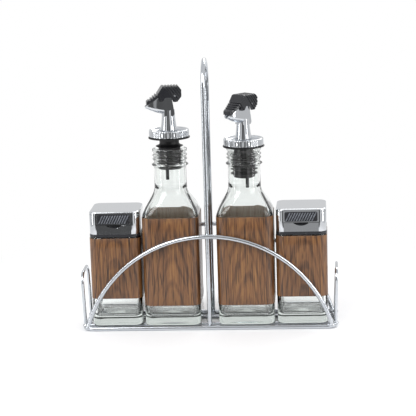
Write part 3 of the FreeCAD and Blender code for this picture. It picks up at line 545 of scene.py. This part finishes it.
def makeWrap(side, kind, shape, x, base):
    name, node = side + kind.title() + "Wrap", "%s_%s_wood_wrap" % (side, kind)
    low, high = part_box(node)
    bottom, top = (low[2] - base) / mm, (high[2] - base) / mm
    half, corner = shape["half"] + wrap["outer"], shape["corner"] + wrap["outer"]
    thin, edge, rounding, levels = wrap["thickness"], half - wrap["edge"], wrap["rounding"], wrap["levels"]
    rings = [(bottom, half - thin, corner - thin), (bottom, edge, corner), (bottom + rounding, half, corner)]
    rings += [(bottom + (top - bottom) * i / levels, half, corner) for i in range(1, levels)]
    rings += [(top - rounding, half, corner), (top, edge, corner), (top, half - thin, corner - thin)]
    rings.append(rings[0])
    bm = stackRings(rings, closed=True)
    movedTo(bm, x, 0, base)
    film = woodGrain("printedWalnut" + name, wood["front"], wrap["gloss"], x)
    piece = finishPiece(bm, name, side + "_" + kind, film, (node,), 40)
    # the inner faces take the pale back copy, painted light for the light that the glass keeps from them
    piece.data.materials.append(woodBackLit)
    for face in piece.data.polygons:
        inwards = Vector((face.center.x - x, face.center.y, 0)).dot(face.normal) < 0
        if inwards and abs(face.normal.z) < 0.5:
            face.material_index = 1


# cruets, in mm; underside, floorDome and the levels are rings and heights of the glass, and a bead is which
# width it reaches, how far its foot is below the rim and how thick it is

cruet = {"aside": 33, "leftTurn": 190, "rightTurn": 228,
         "half": 25, "corner": 8, "heel": 2.5, "body": 97, "shoulder": 26, "shoulderSteps": 18,
         "cornerEase": 0.99, "neck": 14.5, "neckFoot": 17.5, "height": 157, "lip": 15.5, "bead": 16.3,
         "bore": 12.5, "boreTaper": 3, "wall": 3, "floor": 8,
         "cavityHeel": 4, "cavityCorner": 1.01, "outerLevels": (6, 50, 94), "innerLevels": (50, 16),
         "underside": ((1.2, 3, 3), (1.1, 10, 7), (0.8, 16, 6), (0.25, 19.5, 5.5)),
         "floorDome": ((0.2, 14, 6), (0.9, 7, 5), (1.0, 2, 2)),
         "beads": (("bead", 15.5, 2.2), ("lip", 10.03, 1.6), ("lip", 6.83, 1.6)), "beadSteps": 8}


def shoulderRings(inset):
    # from the square body up to the round neck, this far in from the outside
    rings = []
    neck = (cruet["neck"] - inset) * cruet["cornerEase"]
    for i in range(cruet["shoulderSteps"] + 1):
        t = i / cruet["shoulderSteps"]
        square = 1 - t * t * (3 - 2 * t)
        half = cruet["half"] * square + cruet["neck"] * (1 - square) - inset
        corner = (cruet["corner"] - inset) * square + neck * (1 - square)
        rings.append((cruet["body"] + cruet["shoulder"] * t, half, corner))
    return rings


def neckRings():
    # the neck's bead, its two threads and its lip, up and over into the bore
    neck, lip, bore, top = cruet["neck"], cruet["lip"], cruet["bore"], cruet["height"]
    points = [(top - cruet["neckFoot"], neck)]
    for reach, drop, thick in cruet["beads"]:
        for i in range(cruet["beadSteps"] + 1):
            part = i / cruet["beadSteps"]
            r = neck + (cruet[reach] - neck) * math.sin(math.pi * part) ** 1.5
            points.append((top - drop + thick * (part * 1.5 - 0.25), r))
    points += [(top - 3.4, neck), (top - 2.9, lip - 0.5), (top - 2.5, lip), (top - 0.6, lip),
               (top - 0.15, lip - 0.25), (top, lip - 0.8), (top, bore + 0.7), (top - 0.4, bore),
               (cruet["body"] + cruet["shoulder"] + cruet["boreTaper"], bore)]
    return [(z, r, r) for z, r in points]


def makeBottle(side, x, base):
    inside = shoulderRings(cruet["wall"])[::-1]
    inside[0] = (inside[0][0], cruet["bore"], cruet["bore"])
    bm = stackRings(outerFoot(cruet) + shoulderRings(0) + neckRings() + inside + innerFloor(cruet))
    movedTo(bm, x, 0, base)
    finishPiece(bm, side + "CruetGlass", side + "_cruet", glass, (side + "_cruet_bottle",), 60)


# pourers, in mm

pourer = {"flange": 17.75, "thick": 6.5, "dish": 2.0, "flutes": 46, "fluteDepth": 0.3, "fluteFoot": 1.2,
          "fluteTop": 1.0, "fluteSides": 6, "bore": 4.7, "core": 9.75, "waist": 8.75, "waistLength": 6,
          "fins": 5, "fin": 12.2, "finRoot": 2.2, "finPitch": 4.1, "length": 28.5, "stopperSides": 72}


def makeFlange(side, x, z, turn):
    # a shallow cup whose outside is finely fluted for grip
    rim, top, bore = pourer["flange"], pourer["thick"], pourer["bore"]
    deep = top - pourer["dish"]
    low, high = pourer["fluteFoot"], top - pourer["fluteTop"]
    points = [(bore, 0.02), (rim - 1.2, 0.02), (rim - 0.5, 0.25), (rim - 0.12, 0.7), (rim, low)]
    points += [(rim, low + (high - low) * i / 4) for i in (1, 2, 3, 4)]
    points += [(rim - 0.1, top - 0.35), (rim - 0.3, top - 0.1), (rim - 0.6, top), (rim - 0.9, top - 0.12),
               (rim - 1.15, top - 0.5), (rim - 1.9, deep + 0.4), (rim - 2.4, deep + 0.06), (rim - 3, deep),
               (12, deep), (8, deep), (bore, deep), (bore, 0.02)]
    bm = spinProfile(points, pourer["flutes"] * pourer["fluteSides"])
    for vert in bm.verts:
        r = math.hypot(vert.co.x, vert.co.y)
        if r > (rim - 0.05) * mm and low < vert.co.z / mm < high:
            wave = 0.5 + 0.5 * math.cos(pourer["flutes"] * math.atan2(vert.co.y, vert.co.x))
            pull = 1 - pourer["fluteDepth"] * mm * wave / r
            vert.co.x *= pull
            vert.co.y *= pull
    movedTo(bm, x, 0, z, turn)
    body, node = side + "_pourer", side + "_pourer_flange"
    finishPiece(bm, side + "PourerFlange", body, spoutChrome, (node,))


def makeStopper(side, x, z, turn):
    # a finned plug with a waist under the flange, hung from height 0
    core, waist, fin, root = pourer["core"], pourer["waist"], pourer["fin"], pourer["finRoot"]
    bore, length, neck = pourer["bore"], pourer["length"], pourer["waistLength"]
    points = [(bore, -0.02), (core + 0.9, -0.02), (core, -1.2), (waist + 0.1, -2.7), (waist, -3.4),
              (waist, -neck), (core - 0.4, -neck - 0.6)]
    for i in range(pourer["fins"]):
        top = -(neck + root / 2 + pourer["finPitch"] * i)
        points += [(core, top), (core + 0.8, top - 0.4), (fin - 0.3, top - 0.8), (fin, top - root / 2),
                   (fin - 0.3, top - root + 0.8), (core + 0.8, top - root + 0.4), (core, top - root)]
    points += [(core, -length + 1.5), (core - 0.5, -length + 0.4), (core - 1.5, -length), (bore, -length),
               (bore, -0.02)]
    bm = spinProfile(points, pourer["stopperSides"])
    movedTo(bm, x, 0, z, turn)
    body, node = side + "_pourer", side + "_pourer_stopper"
    finishPiece(bm, side + "RubberStopper", body, rubber, (node,), 50)


def makeCruet(side, x, turn):
    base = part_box(side + "_cruet_bottle")[0][2]
    makeBottle(side, x, base)
    makeWrap(side, "cruet", cruet, x, base)
    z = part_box(side + "_pourer_flange")[0][2]
    makeFlange(side, x, z, turn)
    makeStopper(side, x, z, turn)
    body, flap = side + "_pourer", side + "_flap"
    eased(body + "_gasket", side + "Gasket", body, rubber, 0.15)
    eased(body + "_spout", side + "Spout", body, spoutChrome, 0.2)
    eased(body + "_breather_tube", side + "BreatherTube", body, plastic, 0.1)
    # the flap's softened edges are painted grey, a painted highlight
    eased(body + "_flap", side + "Flap", flap, plastic, 0.3, edgeHighlight=ribHighlightPaint)
    eased(body + "_flap_pin", side + "FlapPin", flap, pinSteel, 0.1)
    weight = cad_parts[body + "_flap_weight"].data
    weight.materials.clear()
    weight.materials.append(pinSteel)


makeCruet("left", -cruet["aside"] * mm, math.radians(cruet["leftTurn"]))
makeCruet("right", cruet["aside"] * mm, math.radians(cruet["rightTurn"]))
print("cruets and pourers made")

# shakers, in mm

shaker = {"aside": 83, "half": 22.5, "corner": 7, "heel": 2.5, "body": 81, "neck": 18, "neckHeight": 8,
          "bore": 14.5, "shoulder": 4, "shoulderRound": 0.8, "wall": 3, "floor": 8, "cavityHeel": 3.6,
          "cavityCorner": 0.8,
          "outerLevels": (6, 40, 79), "innerLevels": (40,),
          "underside": ((1.1, 3, 3), (1.0, 9, 6), (0.7, 14, 5.5), (0.25, 17.5, 5)),
          "floorDome": ((0.2, 12, 6), (0.8, 6, 5), (0.9, 2, 2))}


def makeJar(side, x, base):
    half, corner, neck, bore = shaker["half"], shaker["corner"], shaker["neck"], shaker["bore"]
    body, bend, heel = shaker["body"], shaker["shoulderRound"], shaker["cavityHeel"]
    top = body + shaker["neckHeight"]
    roof = body - shaker["shoulder"]
    rings = outerFoot(shaker)
    rings += arcRings(body - bend, half - bend, corner - bend, bend, 0, 90, 4)
    rings += [(body, neck + 0.5, neck + 0.4), (body + 0.4, neck, neck), (top - 0.5, neck, neck),
              (top, neck - 0.5, neck - 0.5), (top, bore + 0.5, 15), (top - 0.5, bore, 14.5),
              (roof + 0.6, bore, 14.5), (roof, bore + 0.6, 12)]
    rings += arcRings(roof - heel, half - shaker["wall"] - heel, shaker["cavityCorner"], heel, 90, 0, 6)
    bm = stackRings(rings + innerFloor(shaker))
    movedTo(bm, x, 0, base)
    finishPiece(bm, side + "ShakerGlass", side + "_shaker", glass, (side + "_shaker_jar",), 60)


grip = {"plate": 0.5, "corner": 1.6, "ribs": 11, "ribWide": 1.35, "ribHigh": 7.4, "ribRound": 0.5,
        "lean": 0.5, "margin": 3.1}


def makeGrip(side, lid):
    # a dark strip with slanting ribs painted grey as a highlight, set on the front of the lid's lip
    node = side + "_shaker_thumb_grip"
    low, high = (Vector(corner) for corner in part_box(node))
    middle, size = (low + high) / 2, (high - low) / mm
    plate = makeBlock(size.x, grip["plate"], size.z)
    corners = [e for e in plate.edges if abs(e.verts[0].co.y - e.verts[1].co.y) > 0.1 * mm]
    bevelled(plate, corners, grip["corner"], 6)
    movedTo(plate, middle.x, high.y - grip["plate"] / 2 * mm, middle.z)
    parts = [plate]
    pitch = (size.x - grip["margin"] * 2) / (grip["ribs"] - 1)
    deep = size.y - grip["plate"]
    for i in range(grip["ribs"]):
        rib = makeBlock(grip["ribWide"], deep * 2, grip["ribHigh"])
        front = [e for e in rib.edges if max(v.co.y for v in e.verts) < 0]
        bevelled(rib, front, grip["ribRound"], 3)
        for vert in rib.verts:
            vert.co.x += vert.co.z * grip["lean"]
        movedTo(rib, low.x + (grip["margin"] + pitch * i) * mm, low.y + deep * mm, middle.z)
        parts.append(rib)
    piece = finishPiece(joinBmesh(parts), side + "ThumbGrip", lid, plastic, (node,))
    # the ribs' front faces take the grey painted highlight
    piece.data.materials.append(ribHighlightPaint)
    for face in piece.data.polygons:
        if face.center.y < low.y + (deep - 0.05) * mm:
            face.material_index = 1


def makeShaker(side, x):
    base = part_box(side + "_shaker_jar")[0][2]
    makeJar(side, x, base)
    makeWrap(side, "shaker", shaker, x, base)
    node, cap, lid = side + "_shaker", side + "_cap", side + "_lid"
    eased(node + "_cap_base", side + "CapRing", cap, plastic, 0.2)
    eased(node + "_cap_shell", side + "CapShell", cap, capChrome, 0.2)
    eased(node + "_lid_pin", side + "LidPin", cap, pinSteel, 0.1)
    eased(node + "_lid", side + "Lid", lid, capChrome, 0.2)
    makeGrip(side, lid)
    eased(node + "_lid_seal", side + "LidSeal", lid, rubber, 0.2)


makeShaker("left", -shaker["aside"] * mm)
makeShaker("right", shaker["aside"] * mm)
print("shakers made")

# floor, lamps and the white surroundings, in metres and watts

# room is how bright metal sees what is in front of the set, from the left wall to the right one
studio = {"floor": "#f3f3f4", "halfWide": 0.46, "front": -0.38, "back": 4.0, "nearPaper": 0.17,
          "farPaper": 0.36, "world": 0.62, "pale": 0.8, "ceiling": (0.25, 0.75), "behind": (-0.15, 0.25),
          "blue": 1.04, "lampAim": (0, 0, 0.1),
          "room": ((0.02, 0.7), (0.12, 0.2), (0.2, 0.95), (0.29, 0.95), (0.32, 0.13), (0.45, 0.1),
                   (0.482, 0.4), (0.508, 0.4), (0.53, 0.1), (0.68, 0.13), (0.72, 0.95), (0.83, 0.95),
                   (0.87, 0.2), (0.98, 0.7))}
# where each lamp stands, how wide and high it is, and its power
lamps = {"keyLamp": ((-0.9, -1.2, 1.5), (1.1, 1.1), 26),
         "fillLamp": ((1.3, -0.8, 0.9), (0.9, 1.2), 10),
         "rimLamp": ((0.5, 1.4, 1.2), (1.2, 0.8), 14),
         "stripLamp1": ((-0.85, -0.35, 0.3), (0.1, 0.8), 1.6),
         "stripLamp3": ((0.85, -0.35, 0.3), (0.1, 0.8), 1.6)}


def rayShares(tree):
    # first, what is seen straight or through glass alone
    # second, what is seen in a reflection, through glass or not
    path = addNode(tree, "ShaderNodeLightPath")
    mirrors = addNode(tree, "ShaderNodeMath", {"operation": "MINIMUM", 1: 1.0},
                      {0: path.outputs["Glossy Depth"]})
    bent = addNode(tree, "ShaderNodeMath", {"operation": "MULTIPLY"},
                   {0: path.outputs["Is Transmission Ray"], 1: mirrors.outputs["Value"]})
    through = addNode(tree, "ShaderNodeMath", {"operation": "SUBTRACT"},
                      {0: path.outputs["Is Transmission Ray"], 1: bent.outputs["Value"]})
    straight = addNode(tree, "ShaderNodeMath", {"operation": "MAXIMUM"},
                       {0: path.outputs["Is Camera Ray"], 1: through.outputs["Value"]})
    reflected = addNode(tree, "ShaderNodeMath", {"operation": "MAXIMUM"},
                        {0: path.outputs["Is Glossy Ray"], 1: bent.outputs["Value"]})
    return straight.outputs["Value"], reflected.outputs["Value"]


def makeFloor():
    # a sheet of white paper; away from the set it is simply white, and near the set it keeps the shadow
    bm = bmesh.new()
    bmesh.ops.create_grid(bm, x_segments=1, y_segments=1, size=1)
    for vert in bm.verts:
        vert.co.x *= studio["halfWide"]
        vert.co.y = studio["back"] if vert.co.y > 0 else studio["front"]
    mesh = bpy.data.meshes.new("studioFloor")
    bm.to_mesh(mesh)
    bm.free()
    floor = bpy.data.objects.new("studioFloor", mesh)
    bpy.context.collection.objects.link(floor)
    material, tree, shader = newMaterial("whitePaperSweep", {
        "Base Color": srgb(studio["floor"]), "Roughness": 0.6})
    coords = addNode(tree, "ShaderNodeTexCoord")
    reach = addNode(tree, "ShaderNodeVectorMath", {"operation": "LENGTH"}, {0: coords.outputs["Object"]})
    away = addNode(tree, "ShaderNodeMapRange", {
        "interpolation_type": "SMOOTHSTEP", "From Min": studio["nearPaper"], "From Max": studio["farPaper"]},
        {"Value": reach.outputs["Value"]})
    straight, reflected = rayShares(tree)
    shiny = addNode(tree, "ShaderNodeMath", {"operation": "MAXIMUM"}, {0: straight, 1: reflected})
    share = addNode(tree, "ShaderNodeMath", {"operation": "MULTIPLY"},
                    {0: shiny.outputs["Value"], 1: away.outputs["Result"]})
    white = addNode(tree, "ShaderNodeEmission", {"Color": (1, 1, 1, 1), "Strength": 1.0})
    mix = addNode(tree, "ShaderNodeMixShader", {}, {
        0: share.outputs["Value"], 1: shader.outputs["BSDF"], 2: white.outputs["Emission"]})
    linkTo(tree, tree.nodes["Material Output"], {"Surface": mix.outputs["Shader"]})
    mesh.materials.append(material)


def makeLamp(name, place, size, power):
    data = bpy.data.lights.new(name, "AREA")
    data.shape, data.size, data.size_y, data.energy = "RECTANGLE", size[0], size[1], power
    lamp = bpy.data.objects.new(name, data)
    bpy.context.collection.objects.link(lamp)
    lamp.location = place
    lamp.visible_transmission = False
    aim = Vector(studio["lampAim"]) - Vector(place)
    lamp.rotation_euler = aim.to_track_quat("-Z", "Y").to_euler()


def makeWorld():
    # white behind the set; metal sees the dim room in front of it and the pale ceiling over it
    world = bpy.data.worlds.new("paleStudio")
    bpy.context.scene.world = world
    world.use_nodes = True
    tree = world.node_tree
    tree.nodes.clear()
    coords = addNode(tree, "ShaderNodeTexCoord")
    heading = addNode(tree, "ShaderNodeSeparateXYZ", {}, {"Vector": coords.outputs["Generated"]})
    across = addNode(tree, "ShaderNodeMapRange", {"From Min": -1, "From Max": 1},
                     {"Value": heading.outputs["X"]})
    room = addNode(tree, "ShaderNodeValToRGB", {}, {"Fac": across.outputs["Result"]})
    setStops(room, [(place, (grey, grey, grey * studio["blue"], 1)) for place, grey in studio["room"]])
    shades = []
    for key, axis in (("ceiling", "Z"), ("behind", "Y")):
        first, last = studio[key]
        shade = addNode(tree, "ShaderNodeMapRange", {
            "interpolation_type": "SMOOTHSTEP", "From Min": first, "From Max": last,
            "To Max": studio["pale"]}, {"Value": heading.outputs[axis]})
        shades.append(shade.outputs["Result"])
    around = addNode(tree, "ShaderNodeMath", {"operation": "MAXIMUM"}, {0: shades[0], 1: shades[1]})
    mirrored = addNode(tree, "ShaderNodeMath", {"operation": "MAXIMUM"},
                       {0: around.outputs["Value"], 1: room.outputs["Color"]})
    straight, reflected = rayShares(tree)
    even = addNode(tree, "ShaderNodeMix", {"data_type": "FLOAT", 2: studio["world"]},
                   {0: reflected, 3: mirrored.outputs["Value"]})
    level = addNode(tree, "ShaderNodeMix", {"data_type": "FLOAT", 3: 1.0}, {0: straight, 2: even.outputs[0]})
    glow = addNode(tree, "ShaderNodeBackground", {"Color": (1, 1, 1, 1)}, {"Strength": level.outputs[0]})
    addNode(tree, "ShaderNodeOutputWorld", {}, {"Surface": glow.outputs["Background"]})


makeFloor()
for name, (place, size, power) in lamps.items():
    makeLamp(name, place, size, power)
makeWorld()
print("studio lit")
